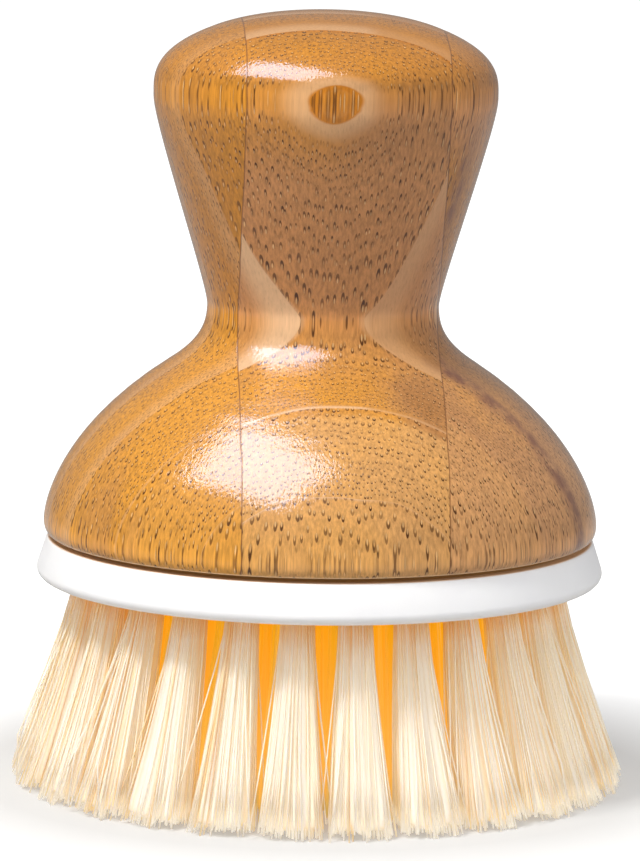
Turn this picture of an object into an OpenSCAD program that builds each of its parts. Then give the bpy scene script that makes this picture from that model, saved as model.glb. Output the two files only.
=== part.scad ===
// Bamboo dish brush: a turned knob handle on a moulded bristle plate.
// It stands on its bristle tips. The origin is on its axis, in the plane of the tips.

/* [Handle] */
// Height of the handle above its flat underside
handle_h = 70.9; // [62:0.1:80]
// Diameter of the handle at its widest, just above its lower edge
base_d = 75.2; // [74.8:0.1:78]
// Height of that widest level above the underside
base_edge_h = 1.6; // [1:0.1:3]
// How far the rounded lower edge turns in under the handle
base_edge_in = 0.7; // [0.4:0.1:1]
// Diameter where the dome of the base turns into the hollow of the neck
dome_end_d = 42; // [38:0.5:46]
// Height of that turning point above the underside
dome_end_h = 23.2; // [20:0.2:26]
// Steepness of the dome at that point, in degrees from the axis
dome_end_slope = 57; // [50:1:62]
// Diameter of the neck at its thinnest
neck_d = 31.4; // [27:0.2:35]
// Rise from the end of the dome to the thinnest level of the neck
neck_rise = 8; // [6.5:0.1:10]
// Diameter of the knob at its widest
knob_d = 46.4; // [40:0.2:52]
// Depth of that widest level below the top of the handle
knob_drop = 11.7; // [10:0.1:14]
// Diameter where the rounded shoulder of the knob meets its flatter crown
crown_d = 30; // [26:0.5:33]
// Depth of that level below the top of the handle
crown_drop = 2.2; // [1.6:0.1:2.8]
// Steepness of the shoulder at that level, in degrees from the axis
crown_slope = 69.5; // [64:0.5:74]

/* [Bristle plate] */
// Diameter at the rounded lower edge of the plate
plate_low_d = 77; // [76:0.1:79]
// Diameter at the upper edge of the plate
plate_top_d = 74.6; // [73:0.1:75.4]
// Height of the visible rim
rim_h = 5.4; // [5.2:0.1:8]
// Radius of the lower edge
rim_low_r = 1.1; // [0.6:0.1:1.8]
// Radius of the upper edge
rim_top_r = 0.5; // [0.2:0.1:0.8]
// Height of the dark gap that shows between the rim and the handle
shadow_gap = 0.6; // [0.3:0.1:1.2]
// Depth of that gap, in from the upper edge of the plate
shadow_gap_in = 1.7; // [1.2:0.1:2.5]
// Diameter of the spigot that centres the plate in the handle
spigot_d = 30; // [20:0.5:40]
// Height of the spigot
spigot_h = 4; // [2:0.2:8]

/* [Bristles] */
// Free length of the bristles, from the plate to the plane of the tips
bristle_h = 27.8; // [24:0.2:32]
// Diameter over the bristle tips
bristle_tip_d = 84; // [82:0.5:88]
// Diameter of the circle through the outer holes
outer_circle_d = 62; // [61:0.2:64]
// Diameter of the circle through the innermost holes
inner_circle_d = 14.2; // [14.2:0.1:15.6]
// Number of tufts in the outer row
outer_count = 26; // [24:1:28]
// Number of tufts in the second row
second_count = 21; // [18:1:22]
// Turn of the outer row about the axis of the brush, in degrees
outer_turn = -4.9; // [-7:0.1:7]
// Distance between the holes of the three inner rows
inner_pitch = 6.9; // [6.8:0.1:8.4]
// Diameter of a tuft where it leaves the plate
tuft_d = 4.7; // [3.8:0.1:4.8]
// Depth of a tuft in its hole
tuft_depth = 4.6; // [4.2:0.1:5]
// Gap between neighbouring tufts at their tips
tip_gap = 0.3; // [0.3:0.1:0.8]
// How the outer tufts bow: 1 is straight, and a larger number spreads them later
tuft_bow = 1.2; // [1:0.05:1.4]
// Number of locks that the bristles of an outer tuft cling together in
lock_count = 12; // [8:1:12]
// Depth of the grooves between those locks at the tips
lock_depth = 0.6; // [0.3:0.05:0.8]

/* [Anchors] */
// Thickness of the flat wire that each tuft is folded over
anchor_t = 0.4; // [0.3:0.05:0.5]
// Width of that wire
anchor_w = 1.8; // [1.4:0.1:2]
// Thickness of the fold of bristles behind the wire
fold_t = 1; // [0.8:0.1:1.4]

/* [Screw] */
// Diameter of the countersunk wood screw
screw_d = 4; // [3.5:0.1:4.5]
// Diameter of its head
screw_head_d = 8; // [7:0.1:8.4]
// Length of the screw over its head
screw_l = 25; // [18:1:35]
// Width of the arms of the cross recess in its head
recess_w = 1.2; // [0.9:0.1:1.4]
// Span of the cross recess
recess_l = 4.4; // [3.6:0.1:5]

/* [Fits] */
// Clearance around the spigot and at its end
spigot_clear = 0.2; // [0.1:0.05:0.4]
// Clearance between a tuft and its hole, around it and behind it
tuft_clear = 0.05; // [0.03:0.01:0.1]
// Clearance around the screw, whose thread fills it
screw_clear = 0.02; // [0.01:0.01:0.1]

/* [Hidden] */
outer_names = [for (i = [1 : outer_count]) str("outer_tuft_", i)];
second_names = [for (i = [1 : second_count]) str("second_tuft_", i)];

// Short steps along each curve of the turned outlines
curve_steps = 14;
edge_steps = 6;
$fn = 96;

// How far a cut runs past the face that it opens
over = 1;

// Levels above the plane of the bristle tips
plate_z = bristle_h;
rim_top_z = plate_z + rim_h;
handle_z = rim_top_z + shadow_gap;

// How far each curve of the handle keeps the direction of its lower and its upper end
base_pull = [2.5, 17];
neck_pull = [5, 3];
cone_pull = [2.5, 3.5];
shoulder_pull = [2.5, 9.5];
crown_pull = [5.5, 3.5];

// Rows of tufts, from the outer row 0 to the innermost row 4
row_count = 5;
function row_r(k) = (outer_circle_d + (inner_circle_d - outer_circle_d) * k / (row_count - 1)) / 2;
function row_n(k) = k == 0 ? outer_count
    : k == 1 ? second_count
    : floor(360 / (2 * asin(inner_pitch / 2 / row_r(k))));
function row_turn(k) = k == 0 ? outer_turn : k % 2 == 0 ? 0 : 180 / row_n(k);

// The outer tufts touch all but the gap at their tips, and lean out to the stated diameter.
// The lean falls with the square of the radius, so the innermost tufts stand nearly upright.
outer_tip_circle_r = (bristle_tip_d + tip_gap) / 2 / (1 + sin(180 / outer_count));
outer_lean = atan((outer_tip_circle_r - row_r(0)) / bristle_h);
function lean(k) = outer_lean * pow(row_r(k) / row_r(0), 2);
function tip_circle_r(k) = row_r(k) + bristle_h * tan(lean(k));
function side_room(k) = tip_circle_r(k) * sin(180 / row_n(k)) - tip_gap / 2;
function row_room(k) = (tip_circle_r(k) - tip_circle_r(k + 1) - tip_gap) / 2 * cos(lean(k));
function room_inside_outer() =
    (tip_circle_r(0) - side_room(0) / cos(outer_lean) - tip_circle_r(1) - tip_gap) * cos(lean(1));
function tip_r(k) = k == 0 ? side_room(0)
    : min(side_room(k), k == 1 ? room_inside_outer() : row_room(k - 1),
          k == row_count - 1 ? side_room(k) : row_room(k));

// Points of a smooth curve from a to b, which leaves a and reaches b at these angles
// from the axis (outward is positive), and keeps each direction for the given pull
function heading(angle) = [sin(angle), cos(angle)];
function curve(a, angle_a, b, angle_b, pull) =
    let (c = a + pull[0] * heading(angle_a), d = b - pull[1] * heading(angle_b))
    [for (i = [1 : curve_steps]) let (t = i / curve_steps, s = 1 - t)
        s * s * s * a + 3 * s * s * t * c + 3 * s * t * t * d + t * t * t * b];

function arc(centre, r, from, to) =
    [for (i = [0 : edge_steps]) centre + r * [cos(from + (to - from) * i / edge_steps),
                                              sin(from + (to - from) * i / edge_steps)]];

// Direction of the wall between a lower and an upper rounded edge, square to both
function wall_angle(low, low_r, top, top_r) =
    atan2(top[1] - low[1], top[0] - low[0]) - acos((low_r - top_r) / norm(top - low));

module handle_outline() {
    widest = [base_d / 2, base_edge_h];
    dome_end = [dome_end_d / 2, dome_end_h];
    neck = [neck_d / 2, dome_end_h + neck_rise];
    knob = [knob_d / 2, handle_h - knob_drop];
    crown = [crown_d / 2, handle_h - crown_drop];
    lower_edge = [for (i = [0 : edge_steps]) let (a = 90 * i / edge_steps)
        [widest[0] - base_edge_in * (1 - sin(a)), base_edge_h * (1 - cos(a))]];
    polygon(concat(
        [[0, 0]], lower_edge,
        curve(widest, 0, dome_end, -dome_end_slope, base_pull),
        curve(dome_end, -dome_end_slope, neck, 0, neck_pull),
        curve(neck, 0, knob, 0, cone_pull),
        curve(knob, 0, crown, -crown_slope, shoulder_pull),
        curve(crown, -crown_slope, [0, handle_h], -90, crown_pull)));
}

// The turned bamboo handle, with the recess for the spigot and the hole for the screw
module handle() {
    color("#C68D50")
    translate([0, 0, handle_z])
    difference() {
        rotate_extrude() handle_outline();
        translate([0, 0, -over])
            cylinder(h = spigot_h + spigot_clear + over, d = spigot_d + 2 * spigot_clear);
        cylinder(h = screw_l + plate_z - handle_z, d = screw_d + 2 * screw_clear);
    }
}

module plate_outline() {
    low = [plate_low_d / 2 - rim_low_r, plate_z + rim_low_r];
    top = [plate_top_d / 2 - rim_top_r, rim_top_z - rim_top_r];
    wall = wall_angle(low, rim_low_r, top, rim_top_r);
    land_r = plate_top_d / 2 - shadow_gap_in;
    polygon(concat(
        [[0, plate_z]],
        arc(low, rim_low_r, -90, wall),
        arc(top, rim_top_r, wall, 90),
        [[land_r, rim_top_z], [land_r, handle_z],
         [spigot_d / 2, handle_z], [spigot_d / 2, handle_z + spigot_h],
         [0, handle_z + spigot_h]]));
}

module around_row(k) {
    for (i = [1 : row_n(k)]) in_row(k, i) children();
}

// Direction of a tuft from the axis of the brush; the first one of a row stands at the front
function tuft_angle(k, i) = -90 + row_turn(k) + 360 * (i - 1) / row_n(k);

// Places a tuft's own frame: origin where its axis meets the underside of the plate,
// its length down along -Z, leaning out from the axis of the brush
module in_row(k, i) {
    rotate([0, 0, tuft_angle(k, i)])
    translate([row_r(k), 0, plate_z])
    rotate([0, -lean(k), 0])
        children();
}

// Countersunk outline that the screw and its seat share, grown by a clearance
module screw_outline(clear, length) {
    head_h = (screw_head_d - screw_d) / 2;
    polygon([
        [0, 0], [screw_head_d / 2 + clear, 0],
        [screw_d / 2 + clear, head_h], [screw_d / 2 + clear, length], [0, length]]);
}

// The moulded plate: a conical rim, a raised land that carries the handle, a spigot,
// a countersunk screw seat and one blind hole for each tuft
module bristle_plate() {
    color("#F2F2F0")
    difference() {
        rotate_extrude() plate_outline();
        translate([0, 0, plate_z])
            rotate_extrude() screw_outline(screw_clear, screw_l);
        for (k = [0 : row_count - 1])
            around_row(k)
                translate([0, 0, -over])
                cylinder(h = tuft_depth + tuft_clear + over, d = tuft_d + 2 * tuft_clear);
    }
}

// Wood screw from below, with a cross recess and a pointed end
module fixing_screw() {
    point_l = screw_d * 1.2;
    recess_depth = (screw_head_d - screw_d) / 2;
    color("#B9BBBE")
    translate([0, 0, plate_z])
    difference() {
        rotate_extrude() intersection() {
            screw_outline(0, screw_l);
            polygon([[0, 0], [screw_head_d, 0], [screw_head_d, screw_l - point_l],
                     [screw_d / 2, screw_l - point_l], [0, screw_l]]);
        }
        for (a = [0, 90])
            rotate([0, 0, a])
            cube([recess_l, recess_w, 2 * recess_depth], center = true);
    }
}

// Centre of an anchor in a tuft's own frame
module at_anchor() {
    translate([0, 0, tuft_depth - fold_t - anchor_w / 2]) children();
}

// Slot of the wire that a tuft is folded over, in the tuft's own frame
module anchor_slot() {
    slot_l = tuft_d + 2 * over;
    at_anchor()
        translate([-anchor_t / 2 - tuft_clear, -slot_l / 2, -anchor_w / 2 - tuft_clear])
        cube([anchor_t + 2 * tuft_clear, slot_l, anchor_w + tuft_clear]);
}

// Sections of an outer tuft. Each has two points for a lock, one on its ridge and one in the
// groove beside it, and the locks of neighbouring tufts start at different angles.
section_n = 2 * lock_count;
section_steps = 4;
lock_step = 0.618;
function section_angle(i, j) = 360 * (j / 2 + lock_step * i) / lock_count;
function in_groove(j) = j % 2;

// Round section in the hole, at a depth above the underside of the plate
function hole_section(k, i, depth) = [for (j = [0 : section_n - 1])
    let (a = section_angle(i, j), x = tuft_d / 2 * cos(a))
    [row_r(k) + x * cos(lean(k)) - depth * sin(lean(k)), tuft_d / 2 * sin(a),
     plate_z + x * sin(lean(k)) + depth * cos(lean(k))]];

// Section below the plate at a share t of the free length. It changes from round to a
// rounded square, narrower on the side of the axis, so that the tips fill the row.
function squared(a) = 1 / pow(pow(cos(a), 4) + pow(sin(a), 4), 1 / 4);
function free_section(k, i, t) =
    let (spread = pow(t, tuft_bow),
         line_r = row_r(k) + (tip_circle_r(k) - row_r(k)) * spread,
         wide_r = tuft_d / 2 + (tip_r(k) - tuft_d / 2) * spread)
    [for (j = [0 : section_n - 1])
        let (a = section_angle(i, j),
             r = (wide_r - in_groove(j) * lock_depth * t) * (1 + (squared(a) - 1) * t),
             x = r * cos(a))
        [line_r + x, r * sin(a) * (1 + t * x / line_r), plate_z * (1 - t)]];

// A bundle of the outer row, which is seen from all around: bowed outwards, with its locks
module outer_bundle(i) {
    sections = concat(
        [hole_section(0, i, tuft_depth), hole_section(0, i, 0)],
        [for (m = [1 : section_steps]) free_section(0, i, m / section_steps)]);
    last = (len(sections) - 1) * section_n;
    rotate([0, 0, tuft_angle(0, i)])
        polyhedron(
            points = [for (section = sections) each section],
            faces = concat(
                [[for (j = [section_n - 1 : -1 : 0]) j], [for (j = [0 : section_n - 1]) last + j]],
                [for (m = [0 : len(sections) - 2], j = [0 : section_n - 1])
                    let (a = m * section_n + j, b = m * section_n + (j + 1) % section_n)
                    [a, b, b + section_n, a + section_n]]),
            convexity = 4);
}

// A bundle of an inner row: a plain cone from its hole, cut flat across the tips
module inner_bundle(k, i) {
    free_l = bristle_h / cos(lean(k));
    uncut_l = free_l + 2 * tip_r(k) * tan(lean(k)) + over;
    uncut_r = tuft_d / 2 + (tip_r(k) - tuft_d / 2) * uncut_l / free_l;
    difference() {
        in_row(k, i) rotate_extrude() polygon([
            [0, tuft_depth], [tuft_d / 2, tuft_depth], [tuft_d / 2, 0],
            [uncut_r, -uncut_l], [0, -uncut_l]]);
        translate([0, 0, -bristle_tip_d])
            cube(2 * bristle_tip_d, center = true);
    }
}

module outer_tuft(i) {
    color("#EFE2C4")
    difference() {
        outer_bundle(i);
        in_row(0, i) anchor_slot();
    }
}

module inner_tuft(k, i) {
    color("#F0A62C")
    difference() {
        inner_bundle(k, i);
        in_row(k, i) anchor_slot();
    }
}

module tuft_row(k) {
    for (i = [1 : row_n(k)]) inner_tuft(k, i);
}

// The flat wires in the holes, one in the fold of each tuft
module tuft_anchors() {
    bore_r = tuft_d / 2;
    anchor_l = 2 * sqrt(bore_r * bore_r - anchor_t * anchor_t / 4);
    color("#B9BBBE")
    for (k = [0 : row_count - 1])
        around_row(k)
            at_anchor() cube([anchor_t, anchor_l, anchor_w], center = true);
}

handle();
bristle_plate();
fixing_screw();
tuft_anchors();
for (i = [1 : outer_count])
    outer_tuft(i);
for (i = [1 : second_count])
    inner_tuft(1, i);
tuft_row(2);  // third_row_tufts
tuft_row(3);  // fourth_row_tufts
tuft_row(4);  // fifth_row_tufts
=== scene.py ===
# %% [markdown]
# # A bamboo dish brush
#
# The real brush is a turned bamboo knob on a white moulded plate, with splayed tufts of
# cream and amber bristles. The CAD model already has every size. This lesson loads it as a
# fixed frame and dresses it: a smooth lacquered handle, a satin plate, and bristles that
# are modelled one by one.

# %% Load the frame
import math

import bmesh
import bpy
import numpy as np
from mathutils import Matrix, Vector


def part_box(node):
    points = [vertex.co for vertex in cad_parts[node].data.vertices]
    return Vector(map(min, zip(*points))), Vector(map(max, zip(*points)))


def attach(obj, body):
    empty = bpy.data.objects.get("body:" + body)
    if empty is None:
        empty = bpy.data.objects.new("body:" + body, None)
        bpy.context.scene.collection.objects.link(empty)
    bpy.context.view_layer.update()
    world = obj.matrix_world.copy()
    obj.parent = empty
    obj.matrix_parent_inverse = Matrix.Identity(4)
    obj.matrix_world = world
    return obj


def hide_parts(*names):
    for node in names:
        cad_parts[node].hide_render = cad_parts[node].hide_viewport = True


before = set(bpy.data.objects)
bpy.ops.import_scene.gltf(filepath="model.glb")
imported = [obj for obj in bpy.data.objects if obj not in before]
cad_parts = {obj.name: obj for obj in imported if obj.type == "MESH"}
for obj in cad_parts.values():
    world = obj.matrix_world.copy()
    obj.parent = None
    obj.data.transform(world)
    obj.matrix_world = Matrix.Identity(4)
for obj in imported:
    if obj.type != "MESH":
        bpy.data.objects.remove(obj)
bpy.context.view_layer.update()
MM = 0.001

# %% [markdown]
# ## Camera
#
# The picture was taken from a little above the brush, with a long lens from 70 cm away: the
# ellipses of the plate and of the handle give both. It is set first, so that every surface
# can be judged from the right place. The camera looks at the middle of the brush, and a
# small shift puts the brush where it stands in the picture.

# %% Camera
CAMERA_DISTANCE = 700 * MM
CAMERA_RISE = math.radians(8.56)
CAMERA_ROLL = math.radians(0.8)
AIM_HEIGHT = 47.65 * MM
FOCAL_LENGTH = 215.4
SHIFT_PIXELS, PICTURE_TALL = -1.3, 861

lens = bpy.data.cameras.new("camera")
lens.sensor_width = 36
lens.lens = FOCAL_LENGTH
lens.shift_x = SHIFT_PIXELS / PICTURE_TALL
lens.clip_start, lens.clip_end = 0.01, 20
camera = bpy.data.objects.new("camera", lens)
bpy.context.scene.collection.objects.link(camera)
camera.location = (0, -CAMERA_DISTANCE * math.cos(CAMERA_RISE),
                   AIM_HEIGHT + CAMERA_DISTANCE * math.sin(CAMERA_RISE))
camera.rotation_euler = (math.pi / 2 - CAMERA_RISE, 0, 0)
camera.rotation_euler.rotate_axis("Z", CAMERA_ROLL)
bpy.context.scene.camera = camera
print("camera at", [round(x, 3) for x in camera.location], "lens", lens.lens)

# %% [markdown]
# ## Helpers
#
# A few small tools are enough. One turns a hex colour into the linear values that nodes
# use. One adds a node of any kind with its settings and its links, so that a pattern reads
# as a row of sums. One puts arrays of points and faces into a new mesh, and one says what
# a piece stands for.

# %% Colour and nodes
SMOOTH = {"interpolation_type": "SMOOTHSTEP"}
COLOURS = {"data_type": "RGBA"}


def linear(hex_colour):
    """sRGB hex to linear RGBA: divide by 12.92 near black, else ((c + 0.055) / 1.055) ^ 2.4."""
    c = np.array([int(hex_colour[i:i + 2], 16) for i in (1, 3, 5)]) / 255
    c = np.where(c <= 0.04045, c / 12.92, ((c + 0.055) / 1.055) ** 2.4)
    return (*c.tolist(), 1.0)


def add_node(tree, kind, settings=None, *values, **named):
    """Adds a node. settings are its properties, and a word alone is its operation. The
    values fill the inputs that the node shows, from the top, and the named ones go by label,
    with _ for a space. Each is a number, a colour, an output, or another node, which stands
    for the first output that it shows."""
    node = tree.nodes.new("ShaderNode" + kind)
    if isinstance(settings, str):
        settings = {"operation": settings}
    for key, value in (settings or {}).items():
        setattr(node, key, value)
    filled = list(zip((socket for socket in node.inputs if socket.enabled), values))
    filled += [(node.inputs[label.replace("_", " ")], value) for label, value in named.items()]
    for socket, value in filled:
        if isinstance(value, bpy.types.Node):
            value = next(output for output in value.outputs if output.enabled)
        if isinstance(value, bpy.types.NodeSocket):
            tree.links.new(value, socket)
        else:
            socket.default_value = value
    return node


def new_material(name):
    """A material without nodes, and its node tree."""
    material = bpy.data.materials.new(name)
    material.use_nodes = True
    material.node_tree.nodes.clear()
    return material, material.node_tree


# %% Meshes
def new_object(name, mesh):
    """An object in the scene for this mesh or light."""
    piece = bpy.data.objects.new(name, mesh)
    bpy.context.scene.collection.objects.link(piece)
    return piece


def new_piece(name, points, quads, triangles, material):
    """A smooth object from arrays: points (n, 3) in metres, quads (m, 4), triangles (k, 3)."""
    corners = np.concatenate([np.ravel(quads), np.ravel(triangles)]).astype(np.int32)
    sizes = np.concatenate([np.full(len(quads), 4), np.full(len(triangles), 3)])
    starts = np.concatenate([[0], np.cumsum(sizes)[:-1]]).astype(np.int32)
    mesh = bpy.data.meshes.new(name)
    mesh.vertices.add(len(points))
    mesh.vertices.foreach_set("co", np.asarray(points, np.float32).ravel())
    mesh.loops.add(len(corners))
    mesh.loops.foreach_set("vertex_index", corners)
    mesh.polygons.add(len(sizes))
    mesh.polygons.foreach_set("loop_start", starts)
    mesh.update(calc_edges=True)
    mesh.polygons.foreach_set("use_smooth", np.ones(len(sizes), bool))
    mesh.materials.append(material)
    return new_object(name, mesh)


def circle_quads(circles, sides):
    """Quads between each two neighbouring circles of a stack, each with so many points."""
    k = np.arange(sides)
    following = (k + 1) % sides
    row = np.arange(circles - 1)[:, None] * sides
    return np.stack([row + k, row + sides + k, row + sides + following, row + following],
                    -1).reshape(-1, 4)


def pole_triangles(circles, sides):
    """Triangles that close such a stack: from the first circle to a pole that comes after
    all the circles, and from the last circle to a second pole."""
    k = np.arange(sides)
    following = (k + 1) % sides
    last = (circles - 1) * sides
    pole = np.full(sides, circles * sides)
    return np.vstack([np.stack([k, following, pole], -1),
                      np.stack([last + following, last + k, pole + 1], -1)])


def stand_for(piece, node):
    """The piece rides on the brush and takes the place of its CAD node, which is hidden."""
    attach(piece, "root")
    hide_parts(node)
    return piece


print("helpers ready")

# %% [markdown]
# ## Bamboo
#
# The handle is turned from a glued block. Bamboo strips about 9 mm thick and 27 mm wide lie
# side by side with their fibres upright. Each strip is full of vascular bundles: rods that
# run along the fibres. They are large and far apart near the inner wall of the cane and small
# and dense near its skin. A turned surface cuts those rods at every angle, which gives small
# dark rings on top of the dome, V-shaped ticks on its slope and long streaks where the
# surface is upright. So the pattern isn't painted on the surface. It is worked out in the
# space of the block, as rods in two dimensions, and the surface simply cuts it.
#
# The nodes turn Object coordinates into the block's own millimetres: x across the strips,
# y through them, z along the fibres. The fibres wander a millimetre or so to each side, in
# waves of about 20 mm across the block and 45 mm along it.

# %% Bamboo: coordinates of the block
BLOCK_TURN = math.radians(-3.74)
BLOCK_LEAN = (math.radians(2.44), math.radians(-0.61))
BLOCK_SHIFT = (0.64, 1.99, -AIM_HEIGHT / MM)
WANDER = 2.2
WAVES_PER_MM = (0.05, 0.05, 0.022)

bamboo, tree = new_material("laminated_bamboo_clear_lacquered")
place = add_node(tree, "TexCoord").outputs["Object"]
block = add_node(tree, "Mapping", {"vector_type": "POINT"}, place, BLOCK_SHIFT,
                 (*BLOCK_LEAN, BLOCK_TURN), (1 / MM, 1 / MM, 1 / MM))
wander_place = add_node(tree, "VectorMath", "MULTIPLY", block, WAVES_PER_MM)
wander = add_node(tree, "TexNoise", Vector=wander_place, Scale=1.0, Detail=2.0)
wander = add_node(tree, "VectorMath", "MULTIPLY_ADD", wander.outputs["Color"],
                  (WANDER, WANDER, 0), (-WANDER / 2, -WANDER / 2, 0))
fibre = add_node(tree, "VectorMath", "ADD", block, wander)
fibre_x, fibre_y, _ = add_node(tree, "SeparateXYZ", None, fibre).outputs
block_x, _, block_z = add_node(tree, "SeparateXYZ", None, block).outputs
print("the block is turned", round(math.degrees(BLOCK_TURN), 2), "degrees")

# %% [markdown]
# Two glue joints part the block into three columns, and in each column the strips lie one
# behind the other. The side columns were laid a little further back than the middle one,
# the right one at a slant. The cane twists a little towards the top of the block.

# %% Bamboo: columns and strips
GLUE_LEFT, GLUE_RIGHT = -12.25, 14.93
GLUE_WAVER = 0.3
STRIP_THICK, STRIP_START = 8.97, 6.83
LEFT_BACK = 1.1
RIGHT_BACK, RIGHT_SLANT = 6.3, -0.2
TOP_FROM, TOP_TO = 34.0, 43.0
TOP_TWIST = -0.059

waver = add_node(tree, "TexNoise", {"noise_dimensions": "1D"}, W=block_z, Scale=0.16,
                 Detail=3.0)
across = add_node(tree, "Math", "MULTIPLY_ADD", waver, GLUE_WAVER,
                  add_node(tree, "Math", "ADD", block_x, -GLUE_WAVER / 2))
in_left = add_node(tree, "Math", "LESS_THAN", across, GLUE_LEFT)
in_right = add_node(tree, "Math", "GREATER_THAN", across, GLUE_RIGHT)
in_middle = add_node(tree, "Math", "SUBTRACT", 1.0,
                     add_node(tree, "Math", "ADD", in_left, in_right))
at_top = add_node(tree, "MapRange", SMOOTH, block_z, TOP_FROM, TOP_TO, 0.0, 1.0)

# How far a point lies towards the front of the block, in its own column's measure
left_back = add_node(tree, "Math", "MULTIPLY", in_left, LEFT_BACK)
right_back = add_node(tree, "Math", "MULTIPLY_ADD", fibre_x, RIGHT_SLANT, RIGHT_BACK)
right_back = add_node(tree, "Math", "MULTIPLY", in_right, right_back)
forward = add_node(tree, "Math", "ADD", add_node(tree, "Math", "MULTIPLY", fibre_y, -1.0),
                   add_node(tree, "Math", "ADD", left_back, right_back))
forward = add_node(tree, "Math", "MULTIPLY_ADD",
                   add_node(tree, "Math", "MULTIPLY", at_top, TOP_TWIST), fibre_x, forward)
strips = add_node(tree, "Math", "DIVIDE", add_node(tree, "Math", "ADD", forward, -STRIP_START),
                  STRIP_THICK)
strip_number = add_node(tree, "Math", "FLOOR", strips)
through = add_node(tree, "Math", "SUBTRACT", strips, strip_number)
in_strip = add_node(tree, "Math", "MULTIPLY", through, STRIP_THICK)
to_next = add_node(tree, "Math", "SUBTRACT", STRIP_THICK, in_strip)
print("strips of", STRIP_THICK, "mm between joints at", GLUE_LEFT, "and", GLUE_RIGHT, "mm")

# %% [markdown]
# A strip ends in a band of plain light wood, which is wider in the middle of the block and
# in the middle column. Hardly any bundles show in the band. Its light colour starts a
# little later, fades over the first fibres of the next strip, and is fainter at the top.

# %% Bamboo: the light bands
BAND_WIDE, BAND_TOP, BAND_LEAST = 2.9, 0.45, 0.05
BAND_FULL_TO, BAND_NONE_FROM = 14.5, 34.0

band_width = add_node(tree, "MapRange", None, add_node(tree, "Math", "ABSOLUTE", forward),
                      BAND_FULL_TO, BAND_NONE_FROM, 1.0, 0.0)
band_width = add_node(tree, "Math", "MULTIPLY_ADD",
                      add_node(tree, "Math", "POWER", band_width, 3.0), BAND_WIDE,
                      add_node(tree, "Math", "MULTIPLY_ADD", at_top, BAND_TOP, BAND_LEAST))
before_end = add_node(tree, "Math", "DIVIDE", to_next, band_width)
band_share = add_node(tree, "Math", "MULTIPLY_ADD", in_middle, 0.7, 0.3)
band, band_before, band_after = (
    add_node(tree, "Math", "MULTIPLY", band_share,
             add_node(tree, "MapRange", SMOOTH, value, low, high, most, 0.0))
    for value, low, high, most in (
        (before_end, 0.55, 1.7, 1.0), (before_end, 0.2, 1.1, 1.0), (in_strip, 0.0, 0.2, 0.55)))
light_band = add_node(tree, "Math", "MULTIPLY",
                      add_node(tree, "Math", "MAXIMUM", band_before, band_after),
                      add_node(tree, "Math", "MULTIPLY_ADD", at_top, -0.4, 1.0))
print("light bands up to", BAND_WIDE, "mm wide")

# %% [markdown]
# The rods themselves are a Voronoi pattern in two dimensions, so each one runs through the
# whole block. A bundle is a sheath of dark fibres around a light core, thick towards the
# skin of the cane and open on its other side. The dome cuts it as a small crescent and the
# slope of the knob as a V or a dash. The bundles are 0.92 mm apart where a strip starts,
# then 0.72 mm, and 0.5 mm where it ends, as in real cane.

# %% Bamboo: the bundles
STRIP_SEED, COLUMN_SEED = 13.7, 31.7
CELL_RANDOMNESS = 0.65

column = add_node(tree, "Math", "SUBTRACT", in_right, in_left)
own_seed = add_node(tree, "Math", "MULTIPLY_ADD", strip_number, STRIP_SEED,
                    add_node(tree, "Math", "MULTIPLY", column, COLUMN_SEED))


def cells(pitch, seed):
    """Voronoi cells of one pitch in mm, in rows along the start of a strip. Returns how far
    a point lies from the middle of its cell, across and through the strip in mm, and the
    cell's own three random numbers."""
    along_row = add_node(tree, "Math", "MULTIPLY_ADD", fibre_x, 1 / pitch, seed)
    along_row = add_node(tree, "Math", "ADD", along_row, own_seed)
    deep = add_node(tree, "Math", "MULTIPLY_ADD", in_strip, 1 / pitch, 0.15)
    spot = add_node(tree, "CombineXYZ", None, along_row, deep)
    cell = add_node(tree, "TexVoronoi", {"voronoi_dimensions": "2D"}, Vector=spot, Scale=1.0,
                    Randomness=CELL_RANDOMNESS)
    away = add_node(tree, "VectorMath", "SUBTRACT", spot, cell.outputs["Position"])
    chance = add_node(tree, "SeparateColor", None, cell.outputs["Color"])
    return add_node(tree, "VectorMath", "SCALE", away, pitch), chance.outputs


def bundles(pitch, radius, seed):
    """Dark sheath and light core of each bundle, 0 to 1. The sheath is a ring, dark towards
    the skin of the cane and faint on its other side, where the core lies. Pitch and radius
    are in mm, and a bundle's own radius is 0.8 to 1.2 times that."""
    away, chance = cells(pitch, seed)
    own_radius = add_node(tree, "Math", "MULTIPLY_ADD", chance[0], 0.4 * radius, 0.8 * radius)
    reach = add_node(tree, "Math", "DIVIDE", add_node(tree, "VectorMath", "LENGTH", away),
                     own_radius)
    ring = add_node(tree, "Math", "MULTIPLY",
                    add_node(tree, "MapRange", SMOOTH, reach, 0.1, 0.5, 0.0, 1.0),
                    add_node(tree, "MapRange", SMOOTH, reach, 0.95, 1.25, 1.0, 0.0))
    away_y = add_node(tree, "SeparateXYZ", None, away).outputs["Y"]
    skin_side = add_node(tree, "MapRange", None, away_y, -0.9 * radius, 0.3 * radius, 0.1, 1.0)
    strength = add_node(tree, "Math", "MULTIPLY_ADD", chance[1], 0.45, 0.55)
    sheath = add_node(tree, "Math", "MULTIPLY", ring,
                      add_node(tree, "Math", "MULTIPLY", skin_side, strength))
    from_open_side = add_node(tree, "VectorMath", "ADD", away, (0, 0.35 * radius, 0))
    light = add_node(tree, "MapRange", SMOOTH,
                     add_node(tree, "VectorMath", "LENGTH", from_open_side),
                     0.3 * radius, 0.66 * radius, 1.0, 0.0)
    shine = add_node(tree, "Math", "MULTIPLY_ADD", chance[2], 0.8, 0.2)
    return sheath, add_node(tree, "Math", "MULTIPLY", light, shine)


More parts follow.
